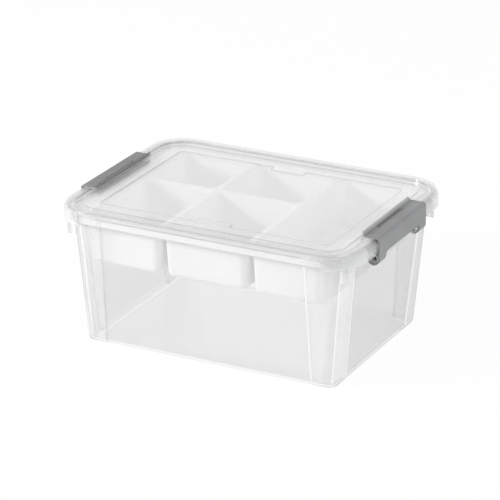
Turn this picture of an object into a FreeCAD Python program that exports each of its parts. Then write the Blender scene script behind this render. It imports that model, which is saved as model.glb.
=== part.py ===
import FreeCAD, Part
import math
import os
import Sketcher

# Clip-lid storage box with a lift-out tray, in millimetres.
# The origin is on the table under the middle of the bin, X runs along the length,
# Y from front to back and Z up. Five mouldings: the clear bin, its clear lid, the
# translucent tray with five cups, and two grey clips that turn on pins under the rim.

os.makedirs("parts", exist_ok=True)
document = FreeCAD.newDocument("StorageBox")
sheet = document.addObject("Spreadsheet::Sheet", "Sizes")

SIZES = {
    # Collar round the mouth, with the ledge that carries the tray
    "collar_length": 380.2,
    "collar_width": 286.0,
    "collar_corner": 41.0,
    "collar_height": 17.8,
    "collar_wall": 2.4,
    "collar_rise": 1.6,
    "collar_panel_recess": 0.7,
    "collar_panel_margin": 2.6,
    # Body under it: a shoulder all round, and walls that lean in towards the foot
    "body_height": 157.6,
    "body_corner": 30.0,
    "shoulder_end": 8.6,
    "shoulder_side": 6.9,
    "lean_end": 14.4,
    "lean_side": 17.6,
    "wall": 2.4,
    "floor_thick": 2.6,
    "base_corner": 11.0,
    "base_edge": 3.6,
    "floor_edge": 3.0,
    "foot_width": 12.0,
    "foot_recess": 1.0,
    # Corner columns stand proud of the four recessed wall panels
    "panel_recess": 0.9,
    "long_column_foot": 29.1,
    "long_column_head": 46.5,
    "end_column_foot": 33.5,
    "end_column_head": 43.1,
    # Rim with a round shoulder and a hanging skirt at the two ends
    "rim_reach_end": 7.2,
    "rim_reach_side": 1.7,
    "rim_corner": 43.0,
    "rim_round": 5.3,
    "rim_plate": 2.2,
    "skirt_drop": 17.0,
    "skirt_return": 36.3,
    "gusset_end_inset": 11.3,
    "gusset_side_inset": 22.2,
    "gusset_drop": 37.6,
    "gusset_thick": 2.4,
    # Hollow pins for the clips, each on an ear
    "pin_drop": 24.0,
    "pin_radius": 5.55,
    "pin_wall": 1.8,
    "pin_clearance": 0.05,
    "pin_inset": 1.5,
    "ear_inset": 4.1,
    "ear_thick": 3.2,
    # Clips
    "clip_sheet": 2.1,
    "clip_length": 134.0,
    "clip_gap": 0.4,
    "clip_rest": 0.1,
    "clip_bend": 2.2,
    "clip_window_rise": 4.6,
    "clip_leg": 19.5,
    "clip_leg_round": 4.0,
    "clip_hook_turn": 178.0,
    "clip_valley_drop": 1.3,
    "clip_valley_run": 1.3,
    "clip_lip_run": 5.3,
    "clip_lip_rise": 5.0,
    "clip_lip_round": 7.0,
    "clip_slot_reach": 2.5,
    "clip_slot_place": 33.0,
    "clip_slot_length": 3.6,
    "clip_slot_width": 1.5,
    # Lid
    "lid_end_inset": 3.6,
    "lid_overhang": 0.8,
    "lid_corner_gain": 0.7,
    "lid_bead": 2.5,
    "lid_edge": 1.4,
    "lid_skin": 1.8,
    "channel_wall": 1.6,
    "channel_drop": 1.4,
    "border_end_inset": 17.8,
    "border_side_inset": 19.5,
    "border_corner": 22.0,
    "panel_end_inset": 36.8,
    "panel_side_inset": 38.55,
    "panel_corner": 5.0,
    "panel_drop": 1.9,
    "tab_length": 44.6,
    "tab_reach": 11.6,
    "rib_drop": 6.5,
    "rib_thick": 1.8,
    "rib_clearance": 0.5,
    "seat_inset": 0.6,
    "seat_width": 15.0,
    "seat_margin": 6.0,
    "seat_corner": 1.5,
    "landing_rise": 0.9,
    "landing_width": 11.7,
    # Tray
    "tray_clearance": 0.5,
    "tray_band": 1.8,
    "tray_top_drop": 2.3,
    "deck_clearance": 1.2,
    "deck_thick": 1.8,
    "cup_depth": 62.5,
    "cup_wall": 1.8,
    "cup_end_inset": 26.0,
    "cup_side_inset": 14.9,
    "cup_corner": 7.0,
    "cup_draft": 5.0,
    "cup_foot_edge": 4.5,
    "divider_place": 58.0,
    "cross_place": 16.5,
    "divider_gap": 12.0,
    # Overrun of every cut past the face that it leaves
    "overrun": 2.0,
}

# Sizes that follow from those above, each after the ones it uses
FITS = {
    "body_length": "collar_length - 2 * shoulder_end",
    "body_width": "collar_width - 2 * shoulder_side",
    "base_length": "body_length - 2 * lean_end",
    "base_width": "body_width - 2 * lean_side",
    "long_panel_base": "base_length - 2 * long_column_foot",
    "long_panel_top": "body_length - 2 * long_column_head",
    "end_panel_base": "base_width - 2 * end_column_foot",
    "end_panel_top": "body_width - 2 * end_column_head",
    "rim_height": "body_height + collar_height",
    "rim_length": "collar_length + 2 * rim_reach_end",
    "rim_width": "collar_width + 2 * rim_reach_side",
    "skirt_break": "rim_length - 2 * skirt_return",
    "gusset_place": "rim_width / 2 - gusset_side_inset",
    "gusset_reach": "rim_length / 2 - gusset_end_inset",
    "pin_height": "rim_height - pin_drop",
    "pin_end": "clip_length / 2 - pin_inset",
    "ear_place": "clip_length / 2 - clip_leg - ear_inset",
    "clip_face": "rim_length / 2 + clip_gap + clip_sheet",
    "clip_window_top": "pin_height + clip_window_rise",
    "lid_length": "rim_length - 2 * lid_end_inset",
    "lid_width": "rim_width + 2 * lid_overhang",
    "lid_corner": "rim_corner + lid_corner_gain",
    "border_length": "collar_length - 2 * border_end_inset",
    "border_width": "collar_width - 2 * border_side_inset",
    "panel_length": "collar_length - 2 * panel_end_inset",
    "panel_width": "collar_width - 2 * panel_side_inset",
    "seat_length": "clip_length + 2 * seat_margin",
    "tray_top": "rim_height - tray_top_drop",
    "tray_deck": "rim_height - rib_drop - deck_clearance",
    "tray_bottom": "tray_deck - cup_depth",
    "cup_length": "body_length - 2 * cup_end_inset",
    "cup_width": "body_width - 2 * cup_side_inset",
}
NAMES = {**SIZES, **FITS}

# Left and right, or front and back
SIDES = (-1, 1)

for row, (alias, size) in enumerate(NAMES.items(), start=1):
    sheet.set(f"A{row}", alias)
    sheet.set(f"B{row}", f"={size}")
    sheet.setAlias(f"B{row}", alias)
document.recompute()


def named(formula):
    """Turns a formula of plain names into one that reads the sheet."""
    words = []
    for word in formula.replace("(", "( ").replace(")", " )").split():
        words.append(f"Sizes.{word}" if word in NAMES else word)
    return " ".join(words)


def value(formula):
    """The number that a formula of named sizes has now."""
    return float(sheet.evalExpression(named(formula)))


def bind(target, field, formula):
    target.setExpression(field, named(formula))


# Sketches

def origin_plane(body, role):
    return next(plane for plane in body.Origin.OriginFeatures if plane.Role == role)


def new_sketch(body, name, role="XY_Plane", offset=None):
    sketch = body.newObject("Sketcher::SketchObject", name)
    sketch.AttachmentSupport = (origin_plane(body, role), [""])
    sketch.MapMode = "FlatFace"
    if offset is not None:
        bind(sketch, "AttachmentOffset.Base.z", offset)
    return sketch


def fix(sketch, kind, formula, *place):
    """Adds a dimension that follows the sheet."""
    index = sketch.addConstraint(Sketcher.Constraint(kind, *place, value(formula)))
    bind(sketch, f"Constraints[{index}]", formula)


def point(x, y):
    return FreeCAD.Vector(x, y, 0)


def add_polygon(sketch, corners):
    """A closed outline of straight sides through corners given as formulas."""
    spots = [point(value(x), value(y)) for x, y in corners]
    count = len(spots)
    first = sketch.GeometryCount
    for index, spot in enumerate(spots):
        sketch.addGeometry(Part.LineSegment(spot, spots[(index + 1) % count]))
    for index, (x, y) in enumerate(corners):
        side = first + index
        before = first + (index - 1) % count
        sketch.addConstraint(Sketcher.Constraint("Coincident", before, 2, side, 1))
        fix(sketch, "DistanceX", x, -1, 1, side, 1)
        fix(sketch, "DistanceY", y, -1, 1, side, 1)


def add_rounded(sketch, west, east, south, north, corner):
    """A closed rectangle with four equal round corners, its sides given as formulas."""
    x0, x1, y0, y1 = value(west), value(east), value(south), value(north)
    r = value(corner)
    turn = FreeCAD.Vector(0, 0, 1)
    quarter = math.pi / 2
    first = sketch.GeometryCount
    sides = [
        (point(x0 + r, y0), point(x1 - r, y0)),
        (point(x1, y0 + r), point(x1, y1 - r)),
        (point(x1 - r, y1), point(x0 + r, y1)),
        (point(x0, y1 - r), point(x0, y0 + r)),
    ]
    centres = [point(x1 - r, y0 + r), point(x1 - r, y1 - r), point(x0 + r, y1 - r), point(x0 + r, y0 + r)]
    for index, (start, end) in enumerate(sides):
        sketch.addGeometry(Part.LineSegment(start, end))
        circle = Part.Circle(centres[index], turn, r)
        sketch.addGeometry(Part.ArcOfCircle(circle, (index - 1) * quarter, index * quarter))
    for index in range(4):
        line = first + 2 * index
        arc = line + 1
        following = first + (2 * index + 2) % 8
        sketch.addConstraint(Sketcher.Constraint("Tangent", line, 2, arc, 1))
        sketch.addConstraint(Sketcher.Constraint("Tangent", arc, 2, following, 1))
    for line, kind in ((first, "Horizontal"), (first + 4, "Horizontal"), (first + 2, "Vertical"), (first + 6, "Vertical")):
        sketch.addConstraint(Sketcher.Constraint(kind, line))
    for index in range(1, 4):
        sketch.addConstraint(Sketcher.Constraint("Equal", first + 1, first + 2 * index + 1))
    fix(sketch, "DistanceX", west, -1, 1, first + 6, 1)
    fix(sketch, "DistanceX", east, -1, 1, first + 2, 1)
    fix(sketch, "DistanceY", south, -1, 1, first, 1)
    fix(sketch, "DistanceY", north, -1, 1, first + 4, 1)
    fix(sketch, "Radius", corner, first + 1)


def add_centred(sketch, length, width, corner):
    add_rounded(sketch, *middle(length), *middle(width), corner)


def centred(body, name, height, length, width, corner):
    """A sketch at a height, with one rounded rectangle about the middle."""
    sketch = new_sketch(body, name, offset=height)
    add_centred(sketch, length, width, corner)
    return sketch


def ring(body, name, height, outer, inner):
    """A sketch at a height, with the band between two rounded rectangles."""
    sketch = new_sketch(body, name, offset=height)
    add_centred(sketch, *outer)
    add_centred(sketch, *inner)
    return sketch


def boxes(body, name, height, spans):
    """A sketch at a height, with a plain rectangle for each pair of X and Y spans."""
    sketch = new_sketch(body, name, offset=height)
    for (west, east), (south, north) in spans:
        add_polygon(sketch, [(west, south), (east, south), (east, north), (west, north)])
    return sketch


def stretch(side, near, far):
    """The span from near to far, on the side where it lies."""
    ends = (f"{side} * ( {near} )", f"{side} * ( {far} )")
    return ends if side > 0 else ends[::-1]


def middle(size, place="0"):
    """The span of a size about a place."""
    return f"( {place} ) - ( {size} ) / 2", f"( {place} ) + ( {size} ) / 2"


# Features

def extrude(body, kind, name, sketch, length, downwards=False, symmetric=False):
    """A pad or pocket of a sketch; its change of volume is checked at the end."""
    feature = body.newObject(f"PartDesign::{kind}", name)
    feature.Profile = sketch
    bind(feature, "Length", length)
    if symmetric:
        feature.SideType = "Symmetric"
    feature.Reversed = downwards if kind == "Pad" else not downwards
    sketch.Visibility = False
    return feature


def pad(body, name, sketch, length, **options):
    return extrude(body, "Pad", name, sketch, length, **options)


def pocket(body, name, sketch, length, **options):
    return extrude(body, "Pocket", name, sketch, length, **options)


def loft(body, kind, name, sketches):
    feature = body.newObject(f"PartDesign::{kind}Loft", name)
    feature.Profile = sketches[0]
    feature.Sections = sketches[1:]
    feature.Ruled = True
    return feature


EDGE_STEPS = (0, 45, 90)
INWARDS = (1, -1, 1, -1)


def rounded_end(body, kind, name, near, far, levels, radius, way=1):
    """A loft from a near to a far outline, its near edge rounded in straight steps.

    An outline is its west, east, south and north sides and its corner. The way is 1
    for a near end below the far one and -1 for one above it.
    """
    low, high = levels
    sections = []
    for angle in EDGE_STEPS:
        rise = f"( {radius} ) * ( 1 - cos( {angle} deg ) )"
        inset = f"( {radius} ) * ( 1 - sin( {angle} deg ) )"
        part = f"{way} * {rise} / ( {high} - ( {low} ) )"
        sides = []
        for start, end, inwards in zip(near, far, INWARDS):
            sides.append(f"( {start} ) + ( {end} - ( {start} ) ) * {part} + {inwards} * {inset}")
        corner = f"( {near[-1]} ) + ( {far[-1]} - ( {near[-1]} ) ) * {part} - {inset}"
        sketch = new_sketch(body, f"{name}_{angle}", offset=f"{low} + {way} * {rise}")
        add_rounded(sketch, *sides, corner)
        sections.append(sketch)
    sketch = new_sketch(body, f"{name}_far", offset=high)
    add_rounded(sketch, *far)
    return loft(body, kind, name, [*sections, sketch])


def about_middle(length, width, corner):
    return *middle(length), *middle(width), corner


def new_body(name):
    body = document.addObject("PartDesign::Body", name)
    body.Label = name
    return body


# Bin: one injection moulding with a tapered body, a collar and a round rim
bin_body = new_body("bin")

ROUND_STEPS = (0, 30, 60, 90)
rim_hollow = "rim_round - rim_plate"
under_rim = "rim_height - rim_plate"


def rounded_rim(kind, name, inset, radius, top):
    """The rim's quarter-round shoulder, which narrows only lengthwise."""
    sections = []
    for angle in ROUND_STEPS:
        height = f"{top} - ( {radius} ) * ( 1 - sin( {angle} deg ) )"
        length = f"rim_length - 2 * ( {inset} ) - 2 * ( {radius} ) * ( 1 - cos( {angle} deg ) )"
        width = f"rim_width - 2 * ( {inset} )"
        corner = f"rim_corner - ( {inset} )"
        sections.append(centred(bin_body, f"{name}_{angle}", height, length, width, corner))
    return loft(bin_body, kind, name, sections)


rounded_rim("Additive", "rim_shoulder", "0", "rim_round", "rim_height")
rim_outline = ("rim_length", "rim_width", "rim_corner")
rim_inside = ("rim_length - 2 * rim_plate", "rim_width - 2 * rim_plate", "rim_corner - rim_plate")
skirt_sketch = ring(bin_body, "skirt_outline", "rim_height - skirt_drop", rim_outline, rim_inside)
pad(bin_body, "skirt", skirt_sketch, "skirt_drop - rim_round")
rounded_rim("Subtractive", "rim_hollow", "rim_plate", rim_hollow, under_rim)

side_skirts = [stretch(side, "rim_width / 2 - rim_plate - overrun", "rim_width / 2 + overrun") for side in SIDES]
sketch = boxes(bin_body, "open_side_outline", under_rim, [(middle("skirt_break"), y) for y in side_skirts])
pocket(bin_body, "open_sides", sketch, "skirt_drop + overrun", downwards=True)
notches = [stretch(side, "rim_length / 2 - rim_plate - clip_gap", "rim_length / 2 + overrun") for side in SIDES]
notch_width = middle("clip_length + 2 * clip_gap")
sketch = boxes(bin_body, "notch_outline", "rim_height + overrun", [(x, notch_width) for x in notches])
pocket(bin_body, "clip_notches", sketch, "skirt_drop + 2 * overrun", downwards=True)

collar_outline = ("collar_length", "collar_width", "collar_corner")
shoulder_top = "body_height + collar_rise"
sketch = centred(bin_body, "collar_outline", shoulder_top, *collar_outline)
pad(bin_body, "collar", sketch, f"rim_height - ( {shoulder_top} )")

shoulder_low = centred(bin_body, "shoulder_low", "body_height", "body_length", "body_width", "body_corner")
shoulder_high = centred(bin_body, "shoulder_high", shoulder_top, *collar_outline)
loft(bin_body, "Additive", "shoulder", [shoulder_low, shoulder_high])

body_foot = about_middle("base_length", "base_width", "base_corner")
body_mouth = about_middle("body_length", "body_width", "body_corner")
rounded_end(bin_body, "Additive", "body", body_foot, body_mouth, ("0", "body_height"), "base_edge")

# The wall panels are set back between the corner columns
LEVELS = (("foot", "0", "base"), ("head", "body_height", "body"))
for side in SIDES:
    long_sections = []
    end_sections = []
    for label, level, size in LEVELS:
        spread = "base" if label == "foot" else "top"
        across = middle(f"long_panel_{spread}")
        through = stretch(side, f"{size}_width / 2 - panel_recess", f"{size}_width / 2 + overrun")
        long_sections.append(boxes(bin_body, f"long_{label}_{side + 2}", level, [(across, through)]))
        across = middle(f"end_panel_{spread}")
        through = stretch(side, f"{size}_length / 2 - panel_recess", f"{size}_length / 2 + overrun")
        end_sections.append(boxes(bin_body, f"end_{label}_{side + 2}", level, [(through, across)]))
    loft(bin_body, "Subtractive", f"long_panel_{side + 2}", long_sections)
    loft(bin_body, "Subtractive", f"end_panel_{side + 2}", end_sections)

# Four gussets under the corners of the rim
wall_run = "( body_length - base_length ) / ( 2 * body_height )"
gusset_low = "rim_height - gusset_drop"
gusset_root = f"base_length / 2 + ( {gusset_low} ) * {wall_run} - body_corner / 2"
gussets = []
for side in SIDES:
    for end in SIDES:
        reach = stretch(side, gusset_root, "gusset_reach")
        gussets.append((reach, middle("gusset_thick", f"{end} * gusset_place")))
sketch = boxes(bin_body, "gusset_outline", gusset_low, gussets)
pad(bin_body, "gussets", sketch, f"body_height - ( {gusset_low} ) + collar_rise / 2")

# Hollow hinge pins, and the ears that carry them
hook_outer = "pin_radius + pin_clearance + clip_sheet"
pin_place = f"clip_face - ( {hook_outer} )"
ear_low = "pin_height - pin_radius / 2"
ear_root = f"base_length / 2 + pin_height * {wall_run} - wall / 2 - panel_recess"
ears = []
for side in SIDES:
    for end in SIDES:
        ears.append((stretch(side, ear_root, pin_place), middle("ear_thick", f"{end} * ear_place")))
sketch = boxes(bin_body, "ear_outline", ear_low, ears)
pad(bin_body, "ears", sketch, f"body_height + collar_rise / 2 - ( {ear_low} )")
for end in SIDES:
    sketch = new_sketch(bin_body, f"pin_circles_{end + 2}", "XZ_Plane", f"{-end} * ear_place")
    count = 0
    for side in SIDES:
        for radius in ("pin_radius", "pin_radius - pin_wall"):
            centre = point(side * value(pin_place), value("pin_height"))
            sketch.addGeometry(Part.Circle(centre, FreeCAD.Vector(0, 0, 1), value(radius)))
            fix(sketch, "DistanceX", f"{side} * ( {pin_place} )", -1, 1, count, 3)
            fix(sketch, "DistanceY", "pin_height", -1, 1, count, 3)
            fix(sketch, "Radius", radius, count)
            count += 1
    pad(bin_body, f"pins_{end + 2}", sketch, "pin_end - ear_place", downwards=end > 0)

# Room inside the body and inside the collar, with the tray's ledge between them
ledge = "body_height + wall"
cavity_foot = about_middle("base_length - 2 * wall", "base_width - 2 * wall", "base_corner - wall")
cavity_mouth = about_middle("body_length - 2 * wall", "body_width - 2 * wall", "body_corner - wall")
rounded_end(bin_body, "Subtractive", "cavity", cavity_foot, cavity_mouth, ("floor_thick", ledge), "floor_edge")
collar_inside = (
    "collar_length - 2 * collar_wall",
    "collar_width - 2 * collar_wall",
    "collar_corner - collar_wall",
)
sketch = centred(bin_body, "mouth_outline", "rim_height + overrun", *collar_inside)
pocket(bin_body, "mouth", sketch, f"rim_height + overrun - ( {ledge} )", downwards=True)

collar_panel_top = f"{under_rim} - collar_panel_margin"
panels = [stretch(side, "collar_width / 2 - collar_panel_recess", "collar_width / 2 + overrun") for side in SIDES]
sketch = boxes(bin_body, "collar_panel_outline", collar_panel_top, [(middle("long_panel_top"), y) for y in panels])
depth = f"{collar_panel_top} - ( {shoulder_top} ) + overrun"
pocket(bin_body, "collar_panels", sketch, depth, downwards=True)

sketch = centred(
    bin_body,
    "foot_recess_outline",
    "0",
    "base_length - 2 * foot_width",
    "base_width - 2 * foot_width",
    "base_corner",
)
pocket(bin_body, "foot_recess", sketch, "foot_recess", downwards=False)


# Lid: a clear moulding with a raised edge bead, a channel, a border and a sunk panel
lid_body = new_body("lid")


def inside_collar(inset):
    """The collar's outline moved inwards about the same corner centres."""
    return f"collar_length - 2 * ( {inset} )", f"collar_width - 2 * ( {inset} )", f"collar_corner - ( {inset} )"


bead_top = "rim_height + lid_bead"
plug_inset = "collar_wall + tray_clearance + tray_band + rib_clearance"
lid_underside = "rim_height - panel_drop - lid_skin"
channel_floor = "rim_height - channel_drop"

lid_outline = about_middle("lid_length", "lid_width", "lid_corner")
rounded_end(lid_body, "Additive", "lid_plate", lid_outline, lid_outline, (bead_top, "rim_height"), "lid_edge", way=-1)
sketch = centred(lid_body, "under_outline", lid_underside, *inside_collar(plug_inset))
pad(lid_body, "lid_under", sketch, f"rim_height - ( {lid_underside} )")
inner_rib = inside_collar(f"{plug_inset} + rib_thick")
sketch = ring(lid_body, "rib_outline", "rim_height - rib_drop", inside_collar(plug_inset), inner_rib)
pad(lid_body, "lid_rib", sketch, f"rib_drop + ( {lid_underside} ) - rim_height")

channel_outline = inside_collar(f"{plug_inset} + channel_wall")
sketch = centred(lid_body, "channel_outline", f"{bead_top} + overrun", *channel_outline)
pocket(lid_body, "channel", sketch, "overrun + lid_bead + channel_drop", downwards=True)
sketch = centred(lid_body, "border_outline", channel_floor, "border_length", "border_width", "border_corner")
pad(lid_body, "border", sketch, "channel_drop")

# Inside the border the panel is sunk, with a tab of border at mid front and mid back
sketch = centred(lid_body, "panel_outline", "rim_height", "panel_length", "panel_width", "panel_corner")
pocket(lid_body, "panel", sketch, "panel_drop", downwards=True)
sketch = new_sketch(lid_body, "tab_outline", offset="rim_height - panel_drop")
for side in SIDES:
    reach = stretch(side, "panel_width / 2 - tab_reach", "panel_width / 2 + panel_corner")
    add_rounded(sketch, *middle("tab_length"), *reach, "panel_corner / 2")
pad(lid_body, "tabs", sketch, "panel_drop")

# The border is cored out from below to keep an even skin
core_outer = ("border_length - lid_skin", "border_width - lid_skin", "border_corner - lid_skin / 2")
core_inner = ("panel_length + 2 * lid_skin", "panel_width + 2 * lid_skin", "panel_corner")
sketch = ring(lid_body, "core_outline", lid_underside, core_outer, core_inner)
pocket(lid_body, "border_core", sketch, "panel_drop", downwards=False)

# A raised seat across the channel at each end, with a landing let in for the clip
seat_outer = "lid_length / 2 - seat_inset"
landing_inner = f"{seat_outer} - landing_width"
landing = "rim_height + landing_rise"
clip_way = middle("clip_length + 2 * clip_gap")
seat_inner = f"{seat_outer} - seat_width"
seat_foot = f"collar_length / 2 - ( {plug_inset} ) - channel_wall / 2"
for name, level, outer, height in (
    ("seats", "rim_height", seat_outer, "lid_bead"),
    ("seat_feet", channel_floor, seat_foot, "channel_drop"),
):
    sketch = new_sketch(lid_body, f"{name}_outline", offset=level)
    for side in SIDES:
        add_rounded(sketch, *stretch(side, seat_inner, outer), *middle("seat_length"), "seat_corner")
    pad(lid_body, name, sketch, height)
outer_reach = [stretch(side, landing_inner, "lid_length / 2 + overrun") for side in SIDES]
sketch = boxes(lid_body, "landing_outline", f"{bead_top} + overrun", [(x, clip_way) for x in outer_reach])
pocket(lid_body, "landings", sketch, "overrun + lid_bead - landing_rise", downwards=True)
inner_reach = [stretch(side, f"{seat_inner} - overrun", landing_inner) for side in SIDES]
sketch = boxes(lid_body, "valley_outline", f"{bead_top} + overrun", [(x, clip_way) for x in inner_reach])
pocket(lid_body, "valleys", sketch, "overrun + lid_bead + channel_drop", downwards=True)


# Tray: a band and deck that hang on the bin's ledge, with five tapered cups below
tray_body = new_body("tray")
band_inset = "collar_wall + tray_clearance"
band_outer = inside_collar(band_inset)
band_inner = inside_collar(f"{band_inset} + tray_band")
sketch = centred(tray_body, "deck_outline", "tray_deck - deck_thick", *band_outer)
pad(tray_body, "deck", sketch, "deck_thick")
sketch = ring(tray_body, "band_outline", ledge, band_outer, band_inner)
pad(tray_body, "band", sketch, f"tray_top - ( {ledge} )")


def cup_side(foot, direction):
    """One side of a cup at its foot and top, outside and inside; it leans outwards."""
    return {
        "skin_foot": foot,
        "skin_top": f"{foot} + {direction} * cup_draft",
        "room_foot": f"{foot} - {direction} * cup_wall",
        "room_top": f"{foot} + {direction} * ( cup_draft - cup_wall )",
    }


def outer_side(direction, span):
    """A cup side that faces the bin's wall."""
    return cup_side(f"{direction} * cup_{span} / 2", direction)


def divider_side(place, direction):
    """A cup side that faces a divider, which is a double wall, open below."""
    return cup_side(f"{place} - {direction} * divider_gap / 2", direction)


front = outer_side(-1, "width")
back = outer_side(1, "width")
cross_front = divider_side("cross_place", 1)
cross_back = divider_side("cross_place", -1)
first_column = (outer_side(-1, "length"), divider_side("-1 * divider_place", 1))
middle_column = (divider_side("-1 * divider_place", -1), divider_side("divider_place", 1))
last_column = (divider_side("divider_place", -1), outer_side(1, "length"))
CUPS = {
    "cup_front_left": (*first_column, front, cross_front),
    "cup_back_left": (*first_column, cross_back, back),
    "cup_front_middle": (*middle_column, front, cross_front),
    "cup_back_middle": (*middle_column, cross_back, back),
    "cup_right": (*last_column, front, back),
}


def cup_loft(kind, name, surface, foot, edge):
    """The skin or the room of one cup, from its rounded foot up to the deck."""
    outlines = []
    for level, corner in (("foot", "cup_corner"), ("top", "cup_corner + cup_draft")):
        if surface == "room":
            corner = f"{corner} - cup_wall"
        outlines.append((*[side[f"{surface}_{level}"] for side in CUPS[name]], corner))
    rounded_end(tray_body, kind, f"{name}_{surface}", *outlines, (foot, "tray_deck"), edge)


for name in CUPS:
    cup_loft("Additive", name, "skin", "tray_bottom", "cup_foot_edge")
for name in CUPS:
    cup_loft("Subtractive", name, "room", "tray_bottom + cup_wall", "cup_foot_edge - cup_wall / 2")


# Clips: a bent strap with two legs, each curled under its hinge pin
clip_inner = "clip_face - clip_sheet"
flange_height = f"{landing} + clip_rest"
flange_end = f"{landing_inner} - clip_rest"
valley_place = f"{flange_end} - clip_valley_run"
under_path = [
    (f"{valley_place} - clip_lip_run", f"{flange_height} + clip_lip_rise"),
    (valley_place, f"{flange_height} - clip_valley_drop"),
    (flange_end, flange_height),
    (f"{clip_inner} - clip_bend", flange_height),
]
upright = FreeCAD.Rotation(FreeCAD.Vector(1, 0, 0), FreeCAD.Vector(0, 0, 1), FreeCAD.Vector(0, -1, 0), "ZXY")
path = document.addObject("Sketcher::SketchObject", "clip_path")
path.Placement = FreeCAD.Placement(FreeCAD.Vector(), upright)
spots = [point(value(x), value(z)) for x, z in under_path]
for start, end in zip(spots, spots[1:]):
    path.addGeometry(Part.LineSegment(start, end))
for index in range(1, len(spots) - 1):
    path.addConstraint(Sketcher.Constraint("Coincident", index - 1, 2, index, 1))
for index, (x, z) in enumerate(under_path):
    place = (index, 1) if index < len(under_path) - 1 else (index - 1, 2)
    fix(path, "DistanceX", x, -1, 1, *place)
    fix(path, "DistanceY", z, -1, 1, *place)

# The bend over the edge, the leg, and the hook that ends it
upwards = FreeCAD.Vector(0, 0, 1)
bend_x = f"{clip_inner} - clip_bend"
bend_z = f"{flange_height} - clip_bend"
circle = Part.Circle(point(value(bend_x), value(bend_z)), upwards, value("clip_bend"))
bend = path.addGeometry(Part.ArcOfCircle(circle, 0, math.pi / 2))
leg_top = point(value(clip_inner), value(bend_z))
leg = path.addGeometry(Part.LineSegment(leg_top, point(value(clip_inner), value("pin_height"))))
circle = Part.Circle(point(value(pin_place), value("pin_height")), upwards, value("pin_radius + pin_clearance"))
hook = path.addGeometry(Part.ArcOfCircle(circle, -math.radians(value("clip_hook_turn")), 0))
path.addConstraint(Sketcher.Constraint("Coincident", bend - 1, 2, bend, 2))
path.addConstraint(Sketcher.Constraint("Coincident", bend, 1, leg, 1))
path.addConstraint(Sketcher.Constraint("Coincident", leg, 2, hook, 2))
for arc, x, z in ((bend, bend_x, bend_z), (hook, pin_place, "pin_height")):
    fix(path, "DistanceX", x, -1, 1, arc, 3)
    fix(path, "DistanceY", z, -1, 1, arc, 3)
fix(path, "DistanceY", bend_z, -1, 1, leg, 1)
fix(path, "DistanceX", clip_inner, -1, 1, leg, 2)
fix(path, "DistanceY", "pin_height", -1, 1, leg, 2)
hook_end = "( pin_radius + pin_clearance ) * sin( -1 deg * clip_hook_turn )"
fix(path, "DistanceY", f"pin_height + {hook_end}", -1, 1, hook, 1)

band = document.addObject("Part::Offset2D", "clip_section")
band.Source = path
band.Fill = True
band.Mode = "Skin"
band.Join = "Arc"
bind(band, "Value", "clip_sheet")
strap = document.addObject("Part::Extrusion", "clip_strap")
strap.Base = band
strap.DirMode = "Custom"
strap.Dir = FreeCAD.Vector(0, 1, 0)
strap.Symmetric = True
strap.Solid = True
bind(strap, "LengthFwd", "clip_length")

# The strap's plan has round corners at the lip
plan_outline = document.addObject("Sketcher::SketchObject", "clip_plan_outline")
lip_end = f"{valley_place} - clip_lip_run"
add_rounded(plan_outline, lip_end, "clip_face + clip_lip_round", *middle("clip_length"), "clip_lip_round")
plan = document.addObject("Part::Extrusion", "clip_plan")
plan.Base = plan_outline
plan.DirMode = "Custom"
plan.Dir = FreeCAD.Vector(0, 0, 1)
plan.Solid = True
bind(plan, "LengthFwd", f"{flange_height} + 2 * clip_lip_rise")
trimmed = document.addObject("Part::Common", "clip_trimmed")
trimmed.Base = strap
trimmed.Tool = plan

# The window between the legs, and the gap between their two hooks
window_outline = document.addObject("Sketcher::SketchObject", "clip_window_outline")
sideways = FreeCAD.Rotation(FreeCAD.Vector(0, 1, 0), FreeCAD.Vector(0, 0, 1), FreeCAD.Vector(1, 0, 0), "ZXY")
window_outline.Placement = FreeCAD.Placement(FreeCAD.Vector(), sideways)
window_span = middle("clip_length - 2 * clip_leg")
window_foot = f"pin_height - 3 * ( {hook_outer} )"
add_rounded(window_outline, *window_span, window_foot, "clip_window_top", "clip_leg_round")
window = document.addObject("Part::Extrusion", "clip_window")
window.Base = window_outline
window.DirMode = "Custom"
window.Dir = FreeCAD.Vector(1, 0, 0)
window.Solid = True
bind(window, "LengthFwd", "clip_face + overrun")
gap = document.addObject("Part::Box", "clip_hook_gap")
gap_start = f"{pin_place} - ( {hook_outer} ) - overrun"
bind(gap, "Length", f"{clip_inner} - ( {gap_start} )")
bind(gap, "Width", "clip_length - 2 * clip_leg")
bind(gap, "Height", f"2 * ( {hook_outer} + overrun )")
bind(gap, "Placement.Base.x", gap_start)
bind(gap, "Placement.Base.y", "clip_leg - clip_length / 2")
bind(gap, "Placement.Base.z", f"pin_height - ( {hook_outer} ) - overrun")
cutters = [window, gap]
for side in SIDES:
    slot = document.addObject("Part::Box", f"clip_slot_{side + 2}")
    bind(slot, "Length", "clip_slot_width")
    bind(slot, "Width", "clip_slot_length")
    bind(slot, "Height", "2 * clip_sheet + clip_valley_drop + overrun")
    bind(slot, "Placement.Base.x", f"{flange_end} + clip_slot_reach - clip_slot_width / 2")
    bind(slot, "Placement.Base.y", f"{side} * clip_slot_place - clip_slot_length / 2")
    bind(slot, "Placement.Base.z", f"{flange_height} - clip_sheet - clip_valley_drop")
    cutters.append(slot)
openings = document.addObject("Part::MultiFuse", "clip_openings")
openings.Shapes = cutters
right_clip = document.addObject("Part::Cut", "right_clip")
right_clip.Base = trimmed
right_clip.Tool = openings
right_clip.Label = "right_clip"
left_clip = document.addObject("Part::Mirroring", "left_clip")
left_clip.Source = right_clip
left_clip.Normal = FreeCAD.Vector(1, 0, 0)
left_clip.Label = "left_clip"

document.recompute()

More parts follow.
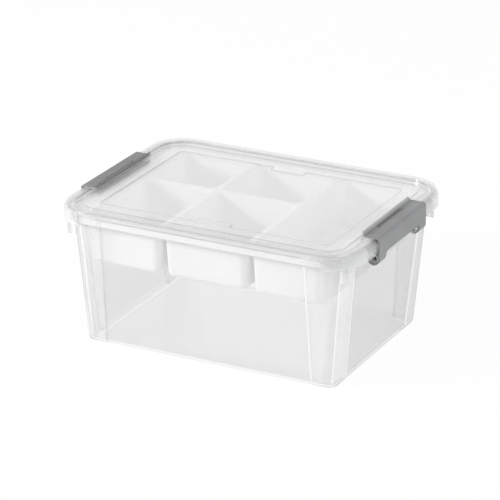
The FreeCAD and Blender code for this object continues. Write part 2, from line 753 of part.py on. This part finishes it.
pieces = [bin_body, lid_body, tray_body, left_clip, right_clip]
for item in document.Objects:
    if "Invalid" in item.State or "Error" in item.State:
        raise RuntimeError(f"{item.Label} failed: {item.State}")
for body in (bin_body, lid_body, tray_body):
    volume = 0.0
    for feature in body.Group:
        if not feature.isDerivedFrom("PartDesign::Feature"):
            continue
        change = feature.Shape.Volume - volume
        adds = not feature.isDerivedFrom("PartDesign::Pocket") and "Subtractive" not in feature.TypeId
        if change == 0 or (change > 0) != adds:
            raise RuntimeError(f"{feature.Label} changed the volume of {body.Label} by {change}")
        volume = feature.Shape.Volume
for piece in pieces:
    shape = piece.Shape
    if shape.isNull() or not shape.isValid() or len(shape.Solids) != 1:
        raise RuntimeError(f"{piece.Label} is not one valid solid")
for piece in pieces:
    piece.Shape.exportStep(f"parts/{piece.Label}.step")
    box = piece.Shape.BoundBox
    print(piece.Label, "volume", round(piece.Shape.Volume / 1000, 1), "cm3,", box)
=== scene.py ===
import bpy
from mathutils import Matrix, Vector

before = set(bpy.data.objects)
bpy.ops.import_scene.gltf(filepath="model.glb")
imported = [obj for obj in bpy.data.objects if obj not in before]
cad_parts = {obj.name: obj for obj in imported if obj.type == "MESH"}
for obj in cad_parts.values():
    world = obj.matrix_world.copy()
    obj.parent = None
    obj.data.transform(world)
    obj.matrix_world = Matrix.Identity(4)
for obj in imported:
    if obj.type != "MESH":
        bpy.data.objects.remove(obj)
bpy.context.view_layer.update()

# The box stands on a seamless sweep of matt board. The board reads as plain white to
# the camera, in gloss and through the clear walls, and keeps the soft shadow under
# the box.
SWEEP_REACH = 4.0
SWEEP_CORNERS = ((-1, -1), (1, -1), (1, 1), (-1, 1))
BOARD_MATT = (0.86, 0.86, 0.86, 1.0)
BOARD_WHITENESS = 0.93
BOARD_GRAIN = 0.01
WHITE = (1.0, 1.0, 1.0, 1.0)


class Reading:
    """A shader socket of a finish; arithmetic on it adds Math nodes to that finish."""

    def __init__(self, finish, socket):
        self.finish = finish
        self.socket = socket

    def worked(self, operation, *terms):
        return self.finish.add("Math", {"operation": operation}, dict(enumerate(terms)))

    def __add__(self, other):
        return self.worked("ADD", self, other)

    def __radd__(self, other):
        return self.worked("ADD", other, self)

    def __sub__(self, other):
        return self.worked("SUBTRACT", self, other)

    def __rsub__(self, other):
        return self.worked("SUBTRACT", other, self)

    def __mul__(self, other):
        return self.worked("MULTIPLY", self, other)

    def __rmul__(self, other):
        return self.worked("MULTIPLY", other, self)

    def __pow__(self, other):
        return self.worked("POWER", self, other)

    def __abs__(self):
        return self.worked("ABSOLUTE", self)

    def at_most(self, limit):
        return self.worked("MINIMUM", self, limit)

    def or_more(self, other):
        return self.worked("MAXIMUM", self, other)

    def band(self, low, high):
        """0 below low and 1 above high, with an even rise between them."""
        return self.finish.add("MapRange", {}, {"Value": self, "From Min": low, "From Max": high})

    def line(self, core, fade):
        """1 as far as core on both sides of zero, and 0 beyond fade."""
        return 1.0 - abs(self).band(core, fade)


class Finish:
    """The nodes of a material or a world, all made by add() and shown by show()."""

    def __init__(self, owner, output="OutputMaterial"):
        owner.use_nodes = True
        self.owner = owner
        self.tree = owner.node_tree
        self.tree.nodes.clear()
        self.output = self.tree.nodes.new(f"ShaderNode{output}")

    def add(self, kind, settings=None, sockets=None, out=0):
        """A node of that kind, with its settings made first and its sockets filled or linked after."""
        node = self.tree.nodes.new(f"ShaderNode{kind}")
        for name, setting in (settings or {}).items():
            if name == "stops":
                ramp = node.color_ramp.elements
                while len(ramp) < len(setting):
                    ramp.new(1.0)
                for stop, (place, colour) in zip(ramp, setting):
                    stop.position = place
                    stop.color = colour
            else:
                setattr(node, name, setting)
        for name, term in (sockets or {}).items():
            if isinstance(term, Reading):
                self.tree.links.new(term.socket, node.inputs[name])
            else:
                node.inputs[name].default_value = term
        return Reading(self, node.outputs[out])

    def seen_ray(self):
        """1 for a ray seen straight, in gloss or through clear plastic; 0 for stray light."""
        camera, gloss, through = (
            self.add("LightPath", out=f"Is {kind} Ray") for kind in ("Camera", "Glossy", "Transmission")
        )
        return (camera + gloss + through).at_most(1.0)

    def show(self, surface):
        self.tree.links.new(surface.socket, self.output.inputs["Surface"])

    def dress(self, piece):
        piece.data.materials.clear()
        piece.data.materials.append(self.owner)


sweep_mesh = bpy.data.meshes.new("sweep")
sweep_mesh.from_pydata([(x * SWEEP_REACH, y * SWEEP_REACH, 0.0) for x, y in SWEEP_CORNERS], [], [(0, 1, 2, 3)])
sweep = bpy.data.objects.new("sweep", sweep_mesh)
bpy.context.scene.collection.objects.link(sweep)
board = Finish(bpy.data.materials.new("sweep_board"))
grain = board.add("TexNoise", {}, {"Scale": 300.0, "Detail": 3.0})
matt = board.add("BsdfDiffuse", {}, {"Color": BOARD_MATT})
white = board.add("Emission", {}, {"Color": WHITE, "Strength": 1.0})
whiteness = board.seen_ray() * (BOARD_WHITENESS + grain * BOARD_GRAIN)
board.show(board.add("MixShader", {}, {0: whiteness, 1: matt, 2: white}))
board.dress(sweep)

# The studio round it is plain white where it is seen, and a little dimmer as a light.
# A small key lamp low on the left, a broad one on the right and a faint wide ceiling
# light the box. The camera looks from its front right, slightly above, with a long lens.
STUDIO_LEVEL = 0.72
LAMP_AIM = (0.0, 0.0, 0.09)
LAMPS = (
    {"name": "key_lamp", "place": (-2.2, -1.9, 1.25), "width": 0.4, "height": 0.4, "watts": 70.0},
    {"name": "side_lamp", "place": (2.6, -0.9, 1.2), "width": 1.6, "height": 1.2, "watts": 32.0},
    {"name": "ceiling_lamp", "place": (-0.3, 0.4, 2.4), "width": 2.2, "height": 1.8, "watts": 2.0},
)
CAMERA_PLACE = (1.4911, -2.9425, 1.4155)
CAMERA_AIM = (-0.0016, -0.00284, 0.10546)
CAMERA_SENSOR = 36.0
CAMERA_LENS = 210.02
CAMERA_REACH = 50.0


def set_up(name, device, place, aim):
    """Stands a lamp or camera at place and turns it towards aim."""
    holder = bpy.data.objects.new(name, device)
    bpy.context.scene.collection.objects.link(holder)
    holder.location = place
    holder.rotation_euler = (Vector(aim) - Vector(place)).to_track_quat("-Z", "Y").to_euler()
    return holder


air = Finish(bpy.data.worlds.new("studio"), "OutputWorld")
bpy.context.scene.world = air.owner
level = STUDIO_LEVEL + air.seen_ray() * (1.0 - STUDIO_LEVEL)
air.show(air.add("Background", {}, {"Color": WHITE, "Strength": level}))
for lamp in LAMPS:
    light = bpy.data.lights.new(lamp["name"], "AREA")
    light.shape = "RECTANGLE"
    light.size = lamp["width"]
    light.size_y = lamp["height"]
    light.energy = lamp["watts"]
    set_up(lamp["name"], light, lamp["place"], LAMP_AIM)
lens = bpy.data.cameras.new("camera")
lens.sensor_width = CAMERA_SENSOR
lens.lens = CAMERA_LENS
lens.clip_end = CAMERA_REACH
bpy.context.scene.camera = set_up("camera", lens, CAMERA_PLACE, CAMERA_AIM)
bpy.context.scene.view_settings.view_transform = "Standard"

# The bin is one clear polypropylene moulding, open at the top. Its four panels are set
# back and thin, and pass most of the light. The corner columns, the collar and the rim
# are thicker and satin. The fine light lines along the steps and corners are painted
# highlights, and the fine dark lines are painted shade.
BIN_DEEP = (0.34, 0.35, 0.35, 1.0)
BIN_PANEL = (0.60, 0.61, 0.61, 1.0)
BIN_COLUMN = (0.76, 0.765, 0.765, 1.0)
BIN_TONES = [(0.0, BIN_DEEP), (0.35, BIN_PANEL), (0.95, BIN_COLUMN)]
BIN_TONE = 0.27
BIN_SOLIDITY = 0.015
BIN_EDGE_SOLIDITY = 0.3
FLOOR_SOLIDITY = 0.6
PLASTIC_IOR = 1.49
STRAIGHT_SHINE = 0.04
GRAZING_SHINE = 0.9
GRAZING_RISE = 5.0
DARK_EDGE_FACING = (0.64, 0.80)

# Where its parts begin, in metres out from the middle or up from the table: each pair is
# a place's near and far edge.
RIGHT_HALF = (-0.05, 0.05)
LONG_WALL = (0.110, 0.115)
END_WALL = (0.158, 0.162)
FLOOR_TOP = (0.003, 0.008)
FOOT_END = (0.158, 0.161)
FOOT_SIDE = (0.1095, 0.1125)
COLLAR_FOOT = (0.1566, 0.1582)
SHOULDER_FOOT = (0.1555, 0.1565)
SHOULDER_TOP = (0.1600, 0.1606)
SHOULDER_END = (0.1785, 0.1795)
RIM_SIDE = (0.1380, 0.1400)
RIM_LINE_FOOT = (0.1676, 0.1682)
RIM_LINE_TOP = (0.1689, 0.1695)
LUG_END = (0.1818, 0.1826)
PIN_END = (0.1862, 0.1868)
PIN_TIP = (0.0665, 0.0675)
SKIRT_END = (0.1903, 0.1912)
SKIRT_CORNER = (0.3104, 0.3118)

# Lines that lean with the walls: each has its place at the table, in metres, and how far
# it leans out for each metre of height.
LONG_STEP_PLACE, LONG_STEP_LEAN = 0.1380, -0.0190
END_STEP_PLACE, END_STEP_LEAN = 0.0850, 0.0508
# The corner glint and the left glint below are painted highlight lines.
CORNER_GLINT_PLACE, CORNER_GLINT_LEAN = 0.0468, 0.0490
LEFT_GLINT_PLACE, LEFT_GLINT_LEAN = 0.1565, 0.045
STEP_SOFTNESS = 0.0006
LONG_STEP_LINE = (0.0005, 0.0016)
END_STEP_LINE = (0.0010, 0.0026)
CORNER_GLINT_LINE = (0.0008, 0.0020)
LEFT_GLINT_LINE = (0.0005, 0.0014)
CORNER_SHADE_NEAR = (-0.016, -0.010)
CORNER_SHADE_FAR = (-0.003, -0.001)


def glaze(finish, shell, bump, shine):
    """Lays a white mirror gloss over a clear shell where shine says."""
    mirror = {"Base Color": WHITE, "Metallic": 1.0, "Roughness": 0.1, "Normal": bump}
    gloss = finish.add("BsdfPrincipled", {}, mirror)
    finish.show(finish.add("MixShader", {}, {0: shine, 1: shell, 2: gloss}))


clear = Finish(bpy.data.materials.new("clear_bin_plastic"))
place = clear.add("TexCoord", out="Object")
x, y, z = (abs(clear.add("SeparateXYZ", {}, {"Vector": place}, out=axis)) for axis in "XYZ")
right = clear.add("SeparateXYZ", {}, {"Vector": place}, out="X").band(*RIGHT_HALF)
left = 1.0 - right
facing = clear.add("LayerWeight", {}, {"Blend": 0.5}, out="Facing")
cloud = clear.add("TexNoise", {}, {"Vector": place, "Scale": 14.0, "Detail": 4.0, "Roughness": 0.6})
ripple = clear.add("TexNoise", {}, {"Vector": place, "Scale": 55.0, "Detail": 2.0})
satin = clear.add("TexNoise", {}, {"Vector": place, "Scale": 700.0, "Detail": 3.0})

long_wall = y.band(*LONG_WALL)
end_wall = x.band(*END_WALL)
rim = z.band(*COLLAR_FOOT)
body = 1.0 - rim
above_floor = z.band(*FLOOR_TOP)
past_long_step = x - (LONG_STEP_PLACE + z * LONG_STEP_LEAN)
past_end_step = y - (END_STEP_PLACE + z * END_STEP_LEAN)
long_column = long_wall * past_long_step.band(-STEP_SOFTNESS, STEP_SOFTNESS)
end_column = end_wall * past_end_step.band(-STEP_SOFTNESS, STEP_SOFTNESS)
columns = (long_column + end_column).at_most(1.0)
body_columns = columns * body
# Painted shade: the panels of the end walls are made darker, and the right one more solid as well.
end_panel_painted_shade = end_wall * (1.0 - columns) * body
long_step = long_wall * past_long_step.line(*LONG_STEP_LINE) * body
end_step = end_wall * past_end_step.line(*END_STEP_LINE) * body
# Painted highlight lines: the right long step and the end steps are made paler, more solid and glossier.
painted_step_highlights = long_step * right + end_step
# Painted shade: the left long step, turned from the light, is made darker.
painted_left_step_shade = long_step * left
past_corner = x - y - (CORNER_GLINT_PLACE + z * CORNER_GLINT_LEAN)
past_left_glint = x - (LEFT_GLINT_PLACE + z * LEFT_GLINT_LEAN)
# Painted highlights: a pale, more solid, glossier glint line down each corner column, and a second one on the
# left columns.
left_glint = past_left_glint.line(*LEFT_GLINT_LINE) * left * long_wall
painted_corner_glint = body_columns * past_corner.line(*CORNER_GLINT_LINE).or_more(left_glint)
corner_shade = body_columns * past_corner.band(*CORNER_SHADE_NEAR) * (1.0 - past_corner.band(*CORNER_SHADE_FAR))
# Painted dark edge: where a column turns away from the eye, its plastic is made darker and more solid, standing
# in for the dark rim that refraction gives clear plastic. Its gloss is lowered there too.
painted_dark_edge = body_columns * facing.band(*DARK_EDGE_FACING)
foot_edge = ((x.band(*FOOT_END) + y.band(*FOOT_SIDE)) * (1.0 - above_floor)).at_most(1.0)
shoulder = z.band(*SHOULDER_FOOT) * (1.0 - z.band(*SHOULDER_TOP)) * (1.0 - x.band(*SHOULDER_END))
# Painted shade: a fine dark line along the rim on the long sides, standing in for the line that refraction
# draws there.
painted_dark_rim_line = z.band(*RIM_LINE_FOOT) * (1.0 - z.band(*RIM_LINE_TOP)) * y.band(*RIM_SIDE)
skirt = (x.band(*SKIRT_END) + (x + y).band(*SKIRT_CORNER)).at_most(1.0)
lugs = x.band(*LUG_END) * body
pins = x.band(*PIN_END) * body * (1.0 - y.band(*PIN_TIP))

tone = BIN_TONE + cloud * 0.15
wall_solidity = BIN_SOLIDITY + facing * BIN_EDGE_SOLIDITY
solidity = wall_solidity * (FLOOR_SOLIDITY + above_floor * (1.0 - FLOOR_SOLIDITY)) + cloud * 0.02
# How much paler each feature makes the plastic, and how much less of what lies behind
# it shows through.
for feature, paler, more_solid in (
    (columns, 0.45, 0.12),
    # The rows from here to the dark edges paint light and shade into the plastic.
    (painted_step_highlights, 0.60, 0.40),
    (painted_left_step_shade, -0.40, 0.07),
    (end_panel_painted_shade, -0.30, 0.01),
    (end_panel_painted_shade * right, 0.0, 0.05),
    (painted_corner_glint, 0.30, 0.30),
    (corner_shade, -0.35, 0.04),
    (painted_dark_edge, -0.80, 0.40),
    (foot_edge, -0.15, 0.05),
    (shoulder, 0.60, 0.0),
    (rim, -0.05, 0.03),
    (painted_dark_rim_line, -0.40, 0.20),
    (skirt, -0.12, 0.15),
    (lugs, -0.45, 0.15),
    (pins, 0.90, 0.30),
):
    tone = tone + feature * paler
    solidity = solidity + feature * more_solid
tint = clear.add("ValToRGB", {"stops": BIN_TONES}, {"Fac": tone})
wave = clear.add("Bump", {}, {"Strength": 0.06, "Distance": 0.0006, "Height": ripple})
bump = clear.add("Bump", {}, {"Strength": 0.10, "Distance": 0.0001, "Height": satin * columns, "Normal": wave})
bin_plastic = {
    "Base Color": tint,
    "Roughness": 0.16 + cloud * 0.1 + columns * 0.1,
    "IOR": PLASTIC_IOR,
    "Alpha": solidity,
    "Normal": bump,
}
grazing = facing**GRAZING_RISE * (GRAZING_SHINE - painted_dark_edge * 0.75)
# The painted highlight lines on the steps and the corner glints get extra gloss too.
shine = STRAIGHT_SHINE + grazing + painted_step_highlights * 0.5 + painted_corner_glint * 0.4
glaze(clear, clear.add("BsdfPrincipled", {}, bin_plastic), bump, shine * (1.0 - foot_edge * 0.8))
clear.dress(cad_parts["bin"])

# The tray is moulded in a milky white polypropylene with a satin finish, and hangs by
# its band on the bin's ledge. Its walls are thin enough to pass light, which a faint
# even painted glow stands in for: an emission, though the tray is no lamp.
TRAY_WHITE = (0.83, 0.83, 0.83, 1.0)
TRAY_SHADE = (0.80, 0.80, 0.80, 1.0)
TRAY_TONES = [(0.3, TRAY_SHADE), (0.6, TRAY_WHITE)]
# Painted light: the tray's faint even glow, which also lifts the shaded sides of the cups.
TRAY_PAINTED_GLOW = 0.08
milky = Finish(bpy.data.materials.new("milky_tray_plastic"))
place = milky.add("TexCoord", out="Object")
cloud = milky.add("TexNoise", {}, {"Vector": place, "Scale": 18.0, "Detail": 4.0})
satin = milky.add("TexNoise", {}, {"Vector": place, "Scale": 420.0, "Detail": 2.0})
tray_plastic = {
    "Base Color": milky.add("ValToRGB", {"stops": TRAY_TONES}, {"Fac": cloud}),
    "Roughness": 0.34 + cloud * 0.1,
    "Subsurface Weight": 0.25,
    "Subsurface Radius": (1.0, 1.0, 1.0),
    "Subsurface Scale": 0.01,
    "Emission Color": WHITE,
    "Emission Strength": TRAY_PAINTED_GLOW,
    "Normal": milky.add("Bump", {}, {"Strength": 0.15, "Distance": 0.0002, "Height": satin}),
}
milky.show(milky.add("BsdfPrincipled", {}, tray_plastic))
milky.dress(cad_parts["tray"])

# The lid is a clear moulding too, a little glossier, which rests on the bin's rim under
# the clips. It has a raised bead round its edge, a channel, a border and a sunk panel.
# The steps between them are painted darker grey, as fine lines of painted shade.
LID_CLEAR = (0.80, 0.80, 0.80, 1.0)
LID_PAINTED_STEP_SHADE = (0.38, 0.38, 0.38, 1.0)
LID_TONES = [(0.2, LID_CLEAR), (0.9, LID_PAINTED_STEP_SHADE)]
LID_FLAT = (0.3, 0.85)
LID_TOP = (0.1734, 0.1738)
LOW_STEP_SHARE = 0.25
glassy = Finish(bpy.data.materials.new("clear_lid_plastic"))
place = glassy.add("TexCoord", out="Object")
upright = glassy.add("TexCoord", out="Normal")
height = glassy.add("SeparateXYZ", {}, {"Vector": place}, out="Z")
flatness = abs(glassy.add("SeparateXYZ", {}, {"Vector": upright}, out="Z")).band(*LID_FLAT)
# Painted shade: faces that stand up from the lid, most of all the upper steps, are made darker grey and more
# solid.
painted_lid_step_shade = (1.0 - flatness) * (LOW_STEP_SHARE + height.band(*LID_TOP) * (1.0 - LOW_STEP_SHARE))
facing = glassy.add("LayerWeight", {}, {"Blend": 0.5}, out="Facing")
cloud = glassy.add("TexNoise", {}, {"Vector": place, "Scale": 12.0, "Detail": 4.0})
ripple = glassy.add("TexNoise", {}, {"Vector": place, "Scale": 45.0, "Detail": 2.0})
bump = glassy.add("Bump", {}, {"Strength": 0.06, "Distance": 0.0006, "Height": ripple})
lid_plastic = {
    "Base Color": glassy.add("ValToRGB", {"stops": LID_TONES}, {"Fac": painted_lid_step_shade + cloud * 0.2}),
    "Roughness": 0.12 + cloud * 0.08,
    "IOR": PLASTIC_IOR,
    "Alpha": 0.03 + facing * 0.2 + painted_lid_step_shade * 0.26 + cloud * 0.02,
    "Normal": bump,
}
shine = STRAIGHT_SHINE + facing**GRAZING_RISE * GRAZING_SHINE
glaze(glassy, glassy.add("BsdfPrincipled", {}, lid_plastic), bump, shine)
glassy.dress(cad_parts["lid"])

# Each clip is a grey moulded strap that snaps over the lid and turns on the bin's hollow
# pins. Its face has the fine even grain of a sparked mould, which blurs the highlights.
# Its lip curls up beside a valley. A highlight is painted on the right lip and shade in
# the valley, and the left clip is painted darker, lip and all.
CLIP_GREY = (0.225, 0.228, 0.232, 1.0)
CLIP_DARK = (0.17, 0.173, 0.177, 1.0)
CLIP_VALLEY_SHADE = (0.10, 0.102, 0.105, 1.0)
CLIP_LIP_HIGHLIGHT = (0.45, 0.455, 0.46, 1.0)
CLIP_TONES = [(0.0, CLIP_VALLEY_SHADE), (0.45, CLIP_DARK), (0.6, CLIP_GREY), (1.0, CLIP_LIP_HIGHLIGHT)]
LIP_FOOT = (0.1765, 0.1795)
VALLEY_NEAR = (0.1790, 0.1803)
VALLEY_FAR = (0.1832, 0.1846)
VALLEY_TIP = (0.0320, 0.0345)
grey = Finish(bpy.data.materials.new("grey_clip_plastic"))
place = grey.add("TexCoord", out="Object")
sparked = grey.add("TexNoise", {}, {"Vector": place, "Scale": 900.0, "Detail": 3.0})
flow = grey.add("TexNoise", {}, {"Vector": place, "Scale": 24.0, "Detail": 3.0})
x, y = (abs(grey.add("SeparateXYZ", {}, {"Vector": place}, out=axis)) for axis in "XY")
right = grey.add("SeparateXYZ", {}, {"Vector": place}, out="X").band(*RIGHT_HALF)
# Painted highlight on the right clip's lip, and painted shade on the left one's.
lip = (1.0 - x.band(*LIP_FOOT)) * (right * 1.3 - 0.3)
# Painted shade: the valley between the slots is made darker.
painted_valley_shade = x.band(*VALLEY_NEAR) * (1.0 - x.band(*VALLEY_FAR)) * (1.0 - y.band(*VALLEY_TIP))
# Painted shade: the left clip is made darker than the right one.
shade = 0.16 + flow * 0.35 + sparked * 0.25 + lip * 0.4 - painted_valley_shade * 0.5 + right * 0.09
clip_plastic = {
    "Base Color": grey.add("ValToRGB", {"stops": CLIP_TONES}, {"Fac": shade}),
    "Roughness": 0.42 + sparked * 0.1,
    "IOR": PLASTIC_IOR,
    "Normal": grey.add("Bump", {}, {"Strength": 0.3, "Distance": 0.00015, "Height": sparked}),
}
grey.show(grey.add("BsdfPrincipled", {}, clip_plastic))
for side in ("left_clip", "right_clip"):
    grey.dress(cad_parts[side])
